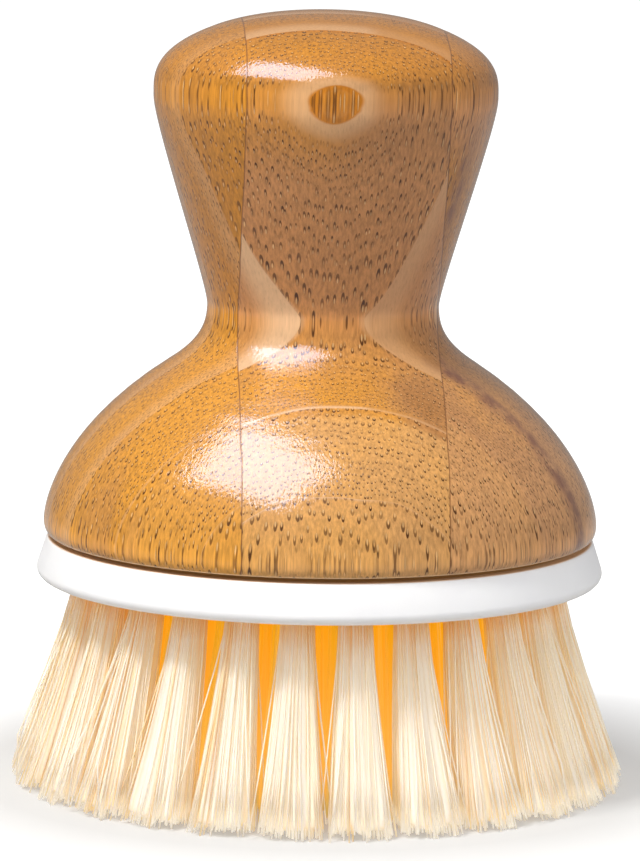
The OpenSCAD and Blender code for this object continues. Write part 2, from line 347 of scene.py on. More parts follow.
sheath, core = bundles(pitch=0.92, radius=0.22, seed=7.3)
for pitch, radius, seed, low, high in ((0.72, 0.16, 40.0, 0.2, 0.4), (0.5, 0.12, 80.0, 0.6, 0.8)):
    share = add_node(tree, "MapRange", SMOOTH, through, low, high, 0.0, 1.0)
    next_sheath, next_core = bundles(pitch, radius, seed)
    sheath = add_node(tree, "Mix", None, share, sheath, next_sheath)
    core = add_node(tree, "Mix", None, share, core, next_core)
outside_band = add_node(tree, "Math", "MULTIPLY_ADD",
                        add_node(tree, "Math", "SUBTRACT", 1.0, band), 0.88, 0.12)
sheath, core = (add_node(tree, "Math", "MULTIPLY", value, outside_band)
                for value in (sheath, core))
print("bundle nodes so far:", len(tree.nodes))

# %% [markdown]
# Between the bundles lies plain ground tissue with a fine upright grain. Its tone drifts
# from gold to brown over a centimetre or so, the left column is the most golden and the
# right one the brownest. Above the neck the middle column is browner and the side columns
# more golden. The strips at the front of the block come from paler canes. At the top of the
# block the first fibres of a strip are amber, and so is its joint.
#
# Each of these is a colour and a share, and the colours are laid over one another in turn.

# %% Bamboo: shares of the ground colours
# Patches about 11 mm wide, 8 mm deep and 33 mm tall
DRIFT_PER_MM = (0.09, 0.12, 0.03)

drift_place = add_node(tree, "VectorMath", "MULTIPLY", fibre, DRIFT_PER_MM)
drift = add_node(tree, "TexNoise", Vector=drift_place, Scale=1.0, Detail=3.0, Roughness=0.6)
drift = add_node(tree, "MapRange", None, drift, 0.35, 0.68, 0.0, 0.75)
brown_side = add_node(tree, "MapRange", SMOOTH, fibre_x, 4.0, 11.0, 0.0, 0.45)
lean_brown = add_node(tree, "Math", "MULTIPLY_ADD", in_left, -0.3,
                      add_node(tree, "Math", "ADD", drift, brown_side))
lean_brown = add_node(tree, "Math", "MAXIMUM", lean_brown, 0.0)
lean_deep = add_node(tree, "Math", "ADD", lean_brown, -0.7)
rosy = add_node(tree, "Math", "MULTIPLY", in_right,
                add_node(tree, "MapRange", None, block_z, -4.0, 12.0, 0.6, 0.05))

upper = add_node(tree, "MapRange", SMOOTH, block_z, 8.0, 20.0, 0.0, 1.0)
upper_amber = add_node(tree, "Math", "MULTIPLY", upper, 0.6)
upper_brown = add_node(tree, "Math", "MULTIPLY",
                       add_node(tree, "Math", "MULTIPLY", in_right, at_top), 0.7)
upper_brown = add_node(tree, "Math", "MULTIPLY_ADD", in_middle, 0.7, upper_brown)
upper_brown = add_node(tree, "Math", "MULTIPLY", upper_brown,
                       add_node(tree, "MapRange", SMOOTH, block_z, 43.0, 50.0, 1.0, 0.0))
golden = add_node(tree, "Math", "MULTIPLY", at_top,
                  add_node(tree, "MapRange", SMOOTH, fibre_x, -3.0, 6.0, 0.75, 0.0))
upper_brown = add_node(tree, "Math", "MULTIPLY", upper_brown,
                       add_node(tree, "Math", "SUBTRACT", 1.0, golden))
upper_brown = add_node(tree, "Math", "MULTIPLY", upper, upper_brown)

front = add_node(tree, "Math", "MULTIPLY",
                 add_node(tree, "MapRange", SMOOTH, forward, 25.2, 26.4, 0.0, 1.0),
                 add_node(tree, "Math", "MULTIPLY_ADD", in_middle, 0.4, 0.15))
plain_wood = add_node(tree, "Math", "MULTIPLY", light_band,
                      add_node(tree, "MapRange", SMOOTH, fibre_x, 3.0, 6.0, 0.95, 0.36))
first_fibres, joint, fading = (
    add_node(tree, "MapRange", SMOOTH, value, low, high, most, 0.0)
    for value, low, high, most in (
        (in_strip, 0.08, 0.24, 1.0), (to_next, 0.0, 0.08, 1.0), (in_strip, 0.2, 0.9, 0.6)))
strip_edge = add_node(tree, "Math", "MAXIMUM",
                      add_node(tree, "Math", "MAXIMUM", first_fibres, joint), fading)
strip_edge = add_node(tree, "Math", "MULTIPLY", strip_edge,
                      add_node(tree, "Math", "MULTIPLY_ADD", at_top, 0.85, 0.1))
strip_edge = add_node(tree, "Math", "MULTIPLY", strip_edge, in_middle)
print("nodes with the ground shares:", len(tree.nodes))

# %% Bamboo: colours, one over the other
GROUND_GOLD = linear("#DE9832")
LAYERS = (
    ("#BE8650", lean_brown),
    ("#A26A30", lean_deep),
    ("#D29C6C", rosy),
    ("#C07A1C", upper_amber),
    ("#CA8E5F", upper_brown),
    ("#E6AE6A", front),
    ("#E6BA8E", plain_wood),
    ("#C4760C", strip_edge),
    ("#4E2806", sheath),
    ("#F2C68A", add_node(tree, "Math", "MULTIPLY", core, 0.7)))

colour = GROUND_GOLD
for layer, share in LAYERS:
    colour = add_node(tree, "Mix", COLOURS, share, colour, linear(layer))
print("layers of colour:", len(LAYERS))

# %% [markdown]
# The grain makes that colour lighter and darker in fine upright lines. End grain drinks more
# lacquer, so a slanted cut is darker than one along the fibres; the same tone holds painted
# shade that makes the crown darker still, and painted light on upright faces. The right half
# of the knob's side is darker than its left, which is painted shade. One strip on the right
# has a purplish brown stain beside its joint. The glue lines are thin and dark, and a thin
# light line along the lower edge is a painted highlight.

# %% Bamboo: tone, stain and glue
STAIN = linear("#764A38")
STAIN_FORWARD = 15.6
GLUE = linear("#6B4020")
# Colour of a painted highlight along the lower edge of the handle
EDGE_HIGHLIGHT = linear("#F2CFA0")
# Lines about 0.36 mm wide and 7 mm long, and blotches of about 3 mm in the stain
GRAIN_PER_MM = (2.8, 2.8, 0.14)
BLOTCH_PER_MM = 0.35

grain_place = add_node(tree, "VectorMath", "MULTIPLY", fibre, GRAIN_PER_MM)
grain = add_node(tree, "TexNoise", Vector=grain_place, Scale=1.0, Detail=3.0, Roughness=0.6)
grain_tone = add_node(tree, "MapRange", None, grain, 0.34, 0.66, 0.76, 1.16)
grain_tone = add_node(tree, "Mix", None, add_node(tree, "Math", "MULTIPLY", band, 0.7),
                      grain_tone, 1.0)
facing = add_node(tree, "TexCoord").outputs["Normal"]
cut = add_node(tree, "Math", "ABSOLUTE",
               add_node(tree, "SeparateXYZ", None, facing).outputs["Z"])
# End grain, plus painted shade on the crown and painted light on upright faces
end_grain_light_and_shade = add_node(tree, "Math", "MULTIPLY",
                     add_node(tree, "MapRange", SMOOTH, cut, 0.05, 0.32, 1.07, 0.84),
                     add_node(tree, "MapRange", SMOOTH, cut, 0.78, 1.0, 1.0, 0.88))
# Painted shade: the right half of the knob's side is darker than its left
painted_knob_shade = add_node(tree, "Math", "MULTIPLY", at_top,
                     add_node(tree, "MapRange", SMOOTH, cut, 0.3, 0.6, 1.0, 0.0))
painted_knob_shade = add_node(tree, "Math", "MULTIPLY", painted_knob_shade,
                     add_node(tree, "MapRange", SMOOTH, fibre_x, -8.0, 4.0, 0.0, -0.15))
painted_knob_shade = add_node(tree, "Math", "MULTIPLY", painted_knob_shade, in_middle)
end_grain_light_and_shade = add_node(tree, "Math", "MULTIPLY", end_grain_light_and_shade,
                     add_node(tree, "Math", "ADD", painted_knob_shade, 1.0))
colour = add_node(tree, "VectorMath", "SCALE", colour,
                  add_node(tree, "Math", "MULTIPLY", grain_tone, end_grain_light_and_shade))

stain_away = add_node(tree, "Math", "ADD", forward, -STAIN_FORWARD)
stain_away = add_node(tree, "Math", "ABSOLUTE", stain_away)
stain = add_node(tree, "Math", "MULTIPLY", in_right,
                 add_node(tree, "MapRange", SMOOTH, stain_away, 0.4, 2.8, 1.0, 0.0))
blotch = add_node(tree, "TexNoise", Vector=fibre, Scale=BLOTCH_PER_MM, Detail=3.0)
blotch = add_node(tree, "MapRange", None, blotch, 0.35, 0.6, 0.2, 0.85)
stain = add_node(tree, "Math", "MULTIPLY", stain, blotch)
stain = add_node(tree, "Math", "MULTIPLY", stain,
                 add_node(tree, "Math", "MULTIPLY_ADD", at_top, -0.9, 1.0))
colour = add_node(tree, "Mix", COLOURS, stain, colour, STAIN)


def glue_line(at):
    """0.75 on a thin line where two columns meet, 0 away from it."""
    gap = add_node(tree, "Math", "ABSOLUTE", add_node(tree, "Math", "ADD", across, -at))
    return add_node(tree, "MapRange", SMOOTH, gap, 0.02, 0.13, 0.75, 0.0)


glued = add_node(tree, "Math", "MAXIMUM", glue_line(GLUE_LEFT), glue_line(GLUE_RIGHT))
colour = add_node(tree, "Mix", COLOURS, glued, colour, GLUE)
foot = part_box("handle")[0].z
# Painted highlight: a thin light line along the lower edge
painted_edge_highlight = add_node(tree, "SeparateXYZ", None, place).outputs["Z"]
painted_edge_highlight = add_node(tree, "MapRange", SMOOTH, painted_edge_highlight, foot + 0.1 * MM, foot + 0.26 * MM,
                    0.7, 0.0)
colour = add_node(tree, "Mix", COLOURS, painted_edge_highlight, colour, EDGE_HIGHLIGHT)
print("bamboo nodes:", len(tree.nodes))

# %% [markdown]
# Clear lacquer lies over the wood: the wood itself is dull, and the coat has the gloss. The
# bundles and the glue lines stand a hair below the lacquer, and together with the open grain
# they speckle the highlights.

# %% Bamboo: surface
# Pores about 0.3 mm wide and 1.7 mm long, which is as fine as the picture can show
PORES_PER_MM = (3.2, 3.2, 0.6)

open_place = add_node(tree, "VectorMath", "MULTIPLY", fibre, PORES_PER_MM)
open_grain = add_node(tree, "TexNoise", Vector=open_place, Scale=1.0, Detail=1.0)
height = add_node(tree, "Math", "MULTIPLY_ADD", sheath, -0.08,
                  add_node(tree, "Math", "MULTIPLY", open_grain, 0.6))
height = add_node(tree, "Math", "MULTIPLY_ADD", glued, -0.5, height)
pores = add_node(tree, "Bump", Strength=0.4, Distance=0.04 * MM, Height=open_grain)
skin = add_node(tree, "Bump", Strength=0.8, Distance=0.08 * MM, Height=height)
shader = add_node(
    tree, "BsdfPrincipled", Base_Color=colour, Normal=pores, Roughness=0.45, IOR=1.5,
    Specular_IOR_Level=0.1, Coat_Normal=skin, Coat_Weight=0.9, Coat_Roughness=0.1,
    Coat_IOR=1.5)
add_node(tree, "OutputMaterial", Surface=shader)
print("material:", bamboo.name)

# %% [markdown]
# ## Handle
#
# A wood turner's outline is one smooth curve. The CAD model holds it as short straight
# steps, so the outline is read from the frame, joined with a smooth curve through the same
# levels, and turned around the axis on a fine grid. The recess under it and the hole for
# the screw close the surface.

# %% Handle: read the outline
LEAST_OUTWARD = 1e-12


def outer_outline(node):
    """Radius and height, in metres, of each level of a turned CAD node whose surface faces
    away from the axis, from the top down: |(x, y)| of the vertices of outward faces. A face
    is outward if its normal leans away from the axis by more than the rounding of numbers."""
    mesh = node.data
    co = np.zeros(len(mesh.vertices) * 3)
    mesh.vertices.foreach_get("co", co)
    co = co.reshape(-1, 3)
    mesh.calc_loop_triangles()
    corners = np.zeros(len(mesh.loop_triangles) * 3, np.int32)
    mesh.loop_triangles.foreach_get("vertices", corners)
    tri = co[corners.reshape(-1, 3)]
    normal = np.cross(tri[:, 1] - tri[:, 0], tri[:, 2] - tri[:, 0])
    outward = (normal[:, :2] * tri.mean(1)[:, :2]).sum(1) > LEAST_OUTWARD
    points = tri[outward].reshape(-1, 3)
    levels = np.round(points[:, 2], 6)
    radius = np.hypot(points[:, 0], points[:, 1])
    found = np.unique(levels)[::-1]
    return np.array([[radius[levels == z].max(), z] for z in found])


def smooth_through(points, per_step):
    """Catmull-Rom curve through the points: cubic steps whose slope at each point is half
    the difference of its neighbours."""
    ends = np.vstack([2 * points[0] - points[1], points, 2 * points[-1] - points[-2]])
    a, b, c, d = ends[:-3], ends[1:-2], ends[2:-1], ends[3:]
    t = (np.arange(per_step) / per_step)[None, :, None]
    a, b, c, d = a[:, None], b[:, None], c[:, None], d[:, None]
    curve = 0.5 * (2 * b + (c - a) * t + (2 * a - 5 * b + 4 * c - d) * t**2
                   + (3 * b - a - 3 * c + d) * t**3)
    return np.vstack([curve.reshape(-1, 2), points[-1:]])


# The middle of the crown faces straight up, so its point on the axis is added
handle_low, handle_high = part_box("handle")
outline = np.vstack([[0, handle_high.z], outer_outline(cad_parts["handle"])])
print("outline levels:", len(outline), " widest:", round(outline[:, 0].max() / MM, 2), "mm")

# %% Handle: turn it
POINTS_AROUND = 224
CURVE_STEPS = 3
SPIGOT_CLEAR = 0.2 * MM
RECESS_R = 15.2 * MM
SCREW_HOLE_R = 2.02 * MM


def turned(name, profile, around, material):
    """A surface of revolution: each point (r, z) of the profile goes to
    (r cos a, r sin a, z). The profile starts and ends on the axis, at two poles."""
    angle = np.arange(around) * 2 * np.pi / around
    rings = profile[1:-1]
    x = rings[:, :1] * np.cos(angle)
    y = rings[:, :1] * np.sin(angle)
    z = np.repeat(rings[:, 1:], around, 1)
    points = np.vstack([np.stack([x, y, z], -1).reshape(-1, 3),
                        [0, 0, profile[0, 1]], [0, 0, profile[-1, 1]]])
    return new_piece(name, points, circle_quads(len(rings), around),
                     pole_triangles(len(rings), around), material)


recess_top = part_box("bristle_plate")[1].z + SPIGOT_CLEAR
hole_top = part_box("fixing_screw")[1].z
curve = smooth_through(outline, CURVE_STEPS)
curve[:, 0] = np.maximum(curve[:, 0], 0)
under = np.array([[RECESS_R, handle_low.z], [RECESS_R, recess_top],
                  [SCREW_HOLE_R, recess_top], [SCREW_HOLE_R, hole_top], [0, hole_top]])
handle = turned("bamboo_handle", np.vstack([curve, under]), POINTS_AROUND, bamboo)
handle.data.set_sharp_from_angle(angle=math.radians(50))
stand_for(handle, "handle")
print("handle faces:", len(handle.data.polygons))

# %% [markdown]
# ## Bristle plate
#
# The plate is injection moulded in white polypropylene: a satin skin, faint flow marks a few
# millimetres long, the fine texture of the mould and soft edges. Its land in the gap under
# the handle is painted brown: painted shade, in the colour of the wood above it. Its CAD
# shape is right, with all its holes, so a merged copy of it only gets smooth shading with the
# sharp edges kept.

# %% Bristle plate: white polypropylene
SPIGOT_TALL = 4 * MM
SHADOW_GAP = 0.6 * MM
# Flow marks of about 5.5 mm. The texture of the mould, about 0.4 mm, is finer on a real one
FLOW_PER_METRE, MOULD_PER_METRE = 180.0, 2600.0

plastic, tree = new_material("white_polypropylene_satin_moulded")
place = add_node(tree, "TexCoord").outputs["Object"]
flow = add_node(tree, "TexNoise", Vector=place, Scale=FLOW_PER_METRE, Detail=2.0)
mould = add_node(tree, "TexNoise", Vector=place, Scale=MOULD_PER_METRE, Detail=2.0)
tone = add_node(tree, "Mix", COLOURS, flow, linear("#EFEFF2"), linear("#F6F6F7"))
level = add_node(tree, "SeparateXYZ", None, place).outputs["Z"]
rim_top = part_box("bristle_plate")[1].z - SPIGOT_TALL - SHADOW_GAP
# Painted shade in the gap under the handle, in the brown of the wood above it
painted_gap_shade = add_node(tree, "MapRange", None, level, rim_top - 0.12 * MM, rim_top + 0.02 * MM,
                  0.0, 1.0)
tone = add_node(tree, "Mix", COLOURS, painted_gap_shade, tone, linear("#CA9A60"))
roughness = add_node(tree, "MapRange", None, flow, 0.3, 0.7, 0.34, 0.44)
texture = add_node(tree, "Bump", Strength=0.15, Distance=0.05 * MM, Height=mould)
shader = add_node(
    tree, "BsdfPrincipled", Base_Color=tone, Roughness=roughness, Normal=texture, IOR=1.49,
    Subsurface_Weight=0.35, Subsurface_Radius=(1.0, 1.0, 0.95), Subsurface_Scale=1.5 * MM)
add_node(tree, "OutputMaterial", Surface=shader)
print("material:", plastic.name)

# %% Bristle plate: the piece
def clean_copy(node, name, material, sharp):
    """A merged copy of a CAD node: its loose triangles share their vertices again, and
    edges over sharp degrees stay sharp."""
    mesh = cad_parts[node].data.copy()
    mesh.name = name
    shape = bmesh.new()
    shape.from_mesh(mesh)
    bmesh.ops.remove_doubles(shape, verts=shape.verts, dist=1e-6)
    shape.to_mesh(mesh)
    shape.free()
    mesh.polygons.foreach_set("use_smooth", np.ones(len(mesh.polygons), bool))
    mesh.set_sharp_from_angle(angle=math.radians(sharp))
    mesh.materials.clear()
    mesh.materials.append(material)
    return new_object(name, mesh)


plate = clean_copy("bristle_plate", "moulded_plate", plastic, 25)
stand_for(plate, "bristle_plate")
print("plate faces:", len(plate.data.polygons))

# %% [markdown]
# ## Screw and anchors
#
# The plate is held by one zinc-plated wood screw, and every tuft is folded over a short
# piece of flat steel wire. Both are nearly hidden, so they keep their CAD shapes and get
# the bluish grey, half bright skin of zinc plating, with its faint spots.

# %% Steel
# Spots of zinc of about 1.1 mm
SPOTS_PER_METRE = 900.0

steel, tree = new_material("zinc_plated_steel")
place = add_node(tree, "TexCoord").outputs["Object"]
spots = add_node(tree, "TexNoise", Vector=place, Scale=SPOTS_PER_METRE, Detail=3.0)
tone = add_node(tree, "Mix", COLOURS, spots, linear("#9EA1A6"), linear("#C9CBCE"))
roughness = add_node(tree, "MapRange", None, spots, 0.3, 0.7, 0.28, 0.42)
shader = add_node(tree, "BsdfPrincipled", Base_Color=tone, Roughness=roughness, Metallic=1.0)
add_node(tree, "OutputMaterial", Surface=shader)

screw = clean_copy("fixing_screw", "wood_screw", steel, 30)
stand_for(screw, "fixing_screw")
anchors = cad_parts["tuft_anchors"]
anchors.data.materials.clear()
anchors.data.materials.append(steel)
print("screw faces:", len(screw.data.polygons))

# %% [markdown]
# ## Bristles
#
# A tuft is a bundle of nylon filaments. They are packed tight in their hole and splay to
# the tips, because the hole leans outwards and the bristles push each other apart. A tuft
# that is one solid never looks like bristles, so each filament is its own thin tube of four
# sides. They bow outwards, cling together in small locks, and end a little unevenly.
#
# Nylon lets light through, so a filament passes on some of the light that falls on its
# neighbours, and a tuft looks lit from within. A weak light of its own stands in for that.
# The outer row is cream and the rows inside are amber. Two numbers are kept at each point:
# how far along the filament it is, and the filament's tone.

# %% Bristles: nylon
def nylon(name, root, middle, tip, light, deep, share, glow, strength):
    """Nylon filament: root, middle and tip are its colours along its length; a darker root is
    painted shade under the plate's rim, and a paler tip is painted light. Single filaments
    drift towards light or deep by up to share. glow holds the colours, at the root, from the
    middle on and at the tip, of the light that filaments pass on to each other."""
    material, tree = new_material(name)
    along = add_node(tree, "Attribute", {"attribute_name": "along"}).outputs["Fac"]
    tone = add_node(tree, "Attribute", {"attribute_name": "tone"}).outputs["Fac"]
    ramps = []
    for value, stops in (
            (along, ((0.05, root), (0.14, middle), (0.95, tip))),
            (tone, ((0.15, deep), (0.85, light))),
            (along, ((0.05, glow[0]), (0.25, glow[1]), (0.88, glow[1]), (1.0, glow[2])))):
        ramps.append(add_node(tree, "ValToRGB", None, value))
        elements = ramps[-1].color_ramp.elements
        elements[0].position, elements[1].position = stops[0][0], stops[-1][0]
        for position, _ in stops[1:-1]:
            elements.new(position)
        for element, (_, hex_colour) in zip(elements, stops):
            element.color = linear(hex_colour)
    lengthwise_light_and_shade, own, passed_on = ramps
    off_middle = add_node(tree, "Math", "ABSOLUTE", add_node(tree, "Math", "ADD", tone, -0.5))
    off_middle = add_node(tree, "Math", "MULTIPLY", off_middle, 2 * share)
    colour = add_node(tree, "Mix", COLOURS, off_middle, lengthwise_light_and_shade, own)
    passed_on = add_node(tree, "Mix", {**COLOURS, "blend_type": "MULTIPLY"}, 1.0, passed_on,
                         colour)
    shader = add_node(
        tree, "BsdfPrincipled", Base_Color=colour, Roughness=0.42, IOR=1.53,
        Subsurface_Weight=0.4, Subsurface_Radius=(1.0, 0.8, 0.5), Subsurface_Scale=1 * MM,
        Emission_Color=passed_on, Emission_Strength=strength)
    add_node(tree, "OutputMaterial", Surface=shader)
    return material


# The cream's tan root is painted shade under the rim of the plate; the paler tips are painted
# light
cream = nylon(
    "nylon_filament_cream", root="#ECD29E", middle="#FAF2E0", tip="#FDF8EE", light="#FFFCF4",
    deep="#F2C478", share=0.7, glow=("#9C6E2C", "#8C774E", "#F6EEDE"), strength=0.45)
amber = nylon(
    "nylon_filament_amber", root="#F4C41C", middle="#F4C626", tip="#FCD880", light="#FFE29A",
    deep="#F6AE10", share=0.35, glow=("#FFFFFF", "#FFFFFF", "#FFFFFF"), strength=0.26)
print("materials:", cream.name, amber.name)

# %% [markdown]
# The tufts stand in five rows. Each row has its own number of tufts, lean, turn and bow, and
# its tufts their own radius at the tips. A tuft grows from a circle in its hole to a rounded
# square, with twelve locks of bristles around it.

# %% Bristles: the rows
PLATE_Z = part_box("bristle_plate")[0].z
TIP_REACH = 41.9 * MM
TUFT_R = 2.3 * MM
IN_HOLE = 1.6 * MM
OUTER_CIRCLE_R, INNER_CIRCLE_R = 31 * MM, 7.1 * MM
LEAN = (13.38, 8.72, 5.05, 2.38, 0.70)
COUNT = (26, 21, 17, 11, 6)
TURN = (-4.9, 180 / COUNT[1], 0, 180 / COUNT[3], 0)
TIP_R = (4.38 * MM, 3.5 * MM, 3.4 * MM, 3.3 * MM, 3.2 * MM)
BOW = (1.2, 1.0, 1.0, 1.0, 1.0)
LOCKS, LOCK_STEP, LOCK_DEPTH = 12, 0.618, 0.6 * MM


def tuft_angle(row, number):
    """Angle of a tuft's direction from the axis of the brush: the first one stands at the
    front, turned by the row's own turn."""
    return math.radians(-90 + TURN[row] + 360 * (number - 1) / COUNT[row])


def lock_turn(number):
    """Angle at which the first lock of a tuft stands in the tuft's own frame."""
    return 2 * np.pi * LOCK_STEP * number / LOCKS


def section(row, number, t, around):
    """Outline of a tuft at a share t of its length: its middle line's distance from the
    axis of the brush, and the radius r of the outline at the angles around. Both grow as
    t ^ bow. The outline goes from a circle to a rounded square, 1 / (cos^4 + sin^4)^(1/4),
    with a groove between each two locks."""
    grown = t ** BOW[row]
    row_r = OUTER_CIRCLE_R + (INNER_CIRCLE_R - OUTER_CIRCLE_R) * row / (len(COUNT) - 1)
    line_r = row_r + PLATE_Z * math.tan(math.radians(LEAN[row])) * grown
    wide = TUFT_R + (TIP_R[row] - TUFT_R) * grown
    groove = 0.5 - 0.5 * np.cos(LOCKS * (around - lock_turn(number)))
    square = (np.cos(around) ** 4 + np.sin(around) ** 4) ** -0.25
    return line_r, (wide - LOCK_DEPTH * t * groove) * (1 + (square - 1) * t)


def spread_out(t, line_r, u, v, angle):
    """Points of the brush for u outwards and v sideways from a tuft's middle line. A tuft
    is a wedge at its tips: v grows by 1 + t u / line_r."""
    outward = np.array([math.cos(angle), math.sin(angle)])
    sideways = np.array([-math.sin(angle), math.cos(angle)])
    v = v * (1 + t * u / line_r)
    return (line_r + u)[..., None] * outward + v[..., None] * sideways


print("plate underside at", round(PLATE_Z / MM, 2), "mm;", sum(COUNT), "tufts")

# %% [markdown]
# A filament keeps its place in the bundle from root to tip, and chance does the rest. A lock
# moves, bows, ends and is toned as one, each filament adds a little of its own, and a few
# stray far. Most filaments end a little above the plane of the tips, and some in it.

# %% Bristles: one tuft as arrays
SIDES, RINGS = 4, 6
LOCK_SCATTER, OWN_SCATTER, STRAY_SCATTER = 0.12 * MM, 0.13 * MM, 1.8 * MM
LOCK_BOW, OWN_BOW = 0.12 * MM, 0.07 * MM
LOCK_SHORT, OWN_SHORT, MOST_SHORT, FULL_LENGTH_SHARE = 0.9 * MM, 0.4 * MM, 2.4 * MM, 0.08
LOCK_TONE, STREAK_TONE, OWN_TONE = 0.14, 0.2, 0.08
TAPER = 0.18
GOLDEN_ANGLE = np.pi * (3 - np.sqrt(5))


def filaments(rng, row, number, count, thick, stray):
    """All filaments of one tuft. Each keeps its angle and its share of the radius all the
    way from the round root to the tips, plus a bow of sin(pi t) and a little scatter.
    Returns the points, how far along each is, and its tone."""
    n = np.arange(count)
    share = ((n + 0.5) / count) ** 0.3
    around = n * GOLDEN_ANGLE + rng.uniform(0, 7)
    turn = np.round((around - lock_turn(number)) * LOCKS / (2 * np.pi)).astype(int)
    lock = np.where(share > 0.5, turn % LOCKS, LOCKS + turn % 3)
    lock_count = LOCKS + 3

    t = np.concatenate([[0], np.linspace(0, 1, RINGS - 1)])[None]
    line_r, reach = section(row, number, t, around[:, None])
    reach = (reach - thick / 2) * share[:, None]
    strays = rng.random(count) < stray
    scatter = rng.normal(0, LOCK_SCATTER, (lock_count, 2))[lock]
    scatter += rng.normal(0, OWN_SCATTER, (count, 2))
    scatter += strays[:, None] * rng.normal(0, STRAY_SCATTER, (count, 2))
    bow = rng.normal(0, LOCK_BOW, (lock_count, 2))[lock] + rng.normal(0, OWN_BOW, (count, 2))
    moved = scatter[:, None] * t[..., None] + bow[:, None] * np.sin(np.pi * t)[..., None]
    u = reach * np.cos(around)[:, None] + moved[..., 0]
    v = reach * np.sin(around)[:, None] + moved[..., 1]
    xy = spread_out(t, line_r, u, v, tuft_angle(row, number))
    far = np.hypot(xy[..., 0], xy[..., 1])
    xy *= np.minimum(1, (TIP_REACH - thick) / far)[..., None]

    tip_z = rng.uniform(0, LOCK_SHORT, lock_count)[lock] + np.abs(rng.normal(0, OWN_SHORT, count))
    tip_z = np.minimum(tip_z, MOST_SHORT) * (rng.random(count) > FULL_LENGTH_SHARE)
    z = PLATE_Z + (tip_z[:, None] - PLATE_Z) * t
    z[:, 0] = PLATE_Z + IN_HOLE
    middle = np.concatenate([xy, z[..., None]], -1)

    corner = np.pi / 4 + np.arange(SIDES) * 2 * np.pi / SIDES
    corner = corner[None, :] + rng.uniform(0, np.pi / 2, count)[:, None]
    ring = np.stack([np.cos(corner), np.sin(corner), np.zeros_like(corner)], -1)
    half = thick / 2 * rng.uniform(0.85, 1.15, count)[:, None] * (1 - TAPER * t)
    points = middle[:, :, None] + ring[:, None] * half[:, :, None, None]
    points[..., 2] = np.maximum(points[..., 2], 0)

    streak = np.floor(around * 3 * LOCKS / (2 * np.pi)).astype(int) % (3 * LOCKS)
    tone = rng.normal(0, LOCK_TONE, lock_count)[lock]
    tone = tone + rng.normal(0, STREAK_TONE, 3 * LOCKS)[streak]
    tone = np.clip(0.5 + tone + rng.normal(0, OWN_TONE, count), 0, 1)
    along = np.broadcast_to(t[:, :, None], points.shape[:3])
    tone = np.broadcast_to(tone[:, None, None], points.shape[:3])
    return points.reshape(-1, 3), along.reshape(-1), tone.reshape(-1)


def filament_quads(count):
    """Faces of count tubes: four sides between neighbouring rings, and a cap at each end."""
    k = np.arange(SIDES)
    last = (RINGS - 1) * SIDES
    one = np.vstack([circle_quads(RINGS, SIDES), k, last + k[::-1]])
    return (one[None] + (np.arange(count) * SIDES * RINGS)[:, None, None]).reshape(-1, 4)


print("faces of one filament:", len(filament_quads(1)))

# %% [markdown]
# The middle of a tuft is too dense to see into. A plain rounded heart fills it, a little
# narrower than the bundle, so the eye never looks through a tuft and the light that real
# filaments pass on to each other isn't lost.

# %% Bristles: the heart of a tuft
HEART_SIDES, HEART_RINGS = 48, 12
HEART_END = 0.964
HEART_CLOSING = ((0.93, 0.97), (0.956, 0.8), (0.962, 0.4))


def heart(rng, row, number):
    """Points of the heart: the tuft's own sections, 0.15 mm smaller at the root and 0.3 mm
    smaller low down. It closes near its end, where each pair is a share of the length and
    the share of the radius there. Returns what filaments returns."""
    closing_t, closing_r = np.transpose(HEART_CLOSING)
    upright = HEART_RINGS - 2 - len(HEART_CLOSING)
    t = np.concatenate([[0, 0], np.linspace(0.08, 0.88, upright), closing_t])[:, None]
    close = np.concatenate([np.ones(upright + 2), closing_r])[:, None]
    around = np.arange(HEART_SIDES) * 2 * np.pi / HEART_SIDES + lock_turn(number)
    line_r, reach = section(row, number, t, around[None])
    reach = (reach - (0.15 + 0.15 * t) * MM) * close
    reach += rng.normal(0, 0.04 * MM, HEART_SIDES)[None] * t
    xy = spread_out(t, line_r, reach * np.cos(around), reach * np.sin(around),
                    tuft_angle(row, number))
    z = PLATE_Z * (1 - t)
    z[0] += IN_HOLE
    rings = np.concatenate([xy, np.broadcast_to(z[..., None], (*xy.shape[:2], 1))], -1)
    ends = rings[[0, -1]].mean(1)
    ends[1, 2] = PLATE_Z * (1 - HEART_END)
    along = np.concatenate([np.repeat(t, HEART_SIDES), [0, HEART_END]])
    tone = np.clip(rng.normal(0.36, 0.14, HEART_SIDES), 0, 1)
    tone = np.concatenate([np.tile(tone, HEART_RINGS), [0.5, 0.5]])
    return np.vstack([rings.reshape(-1, 3), ends]), along, tone


print("points of one heart:", HEART_RINGS * HEART_SIDES + 2)

# %% Bristles: build every row
FILAMENTS = (220, 150, 120, 120, 120)
THICK = (0.27 * MM, 0.32 * MM, 0.36 * MM, 0.36 * MM, 0.36 * MM)
STRAY = (0.1, 0.01, 0.01, 0.01, 0.01)


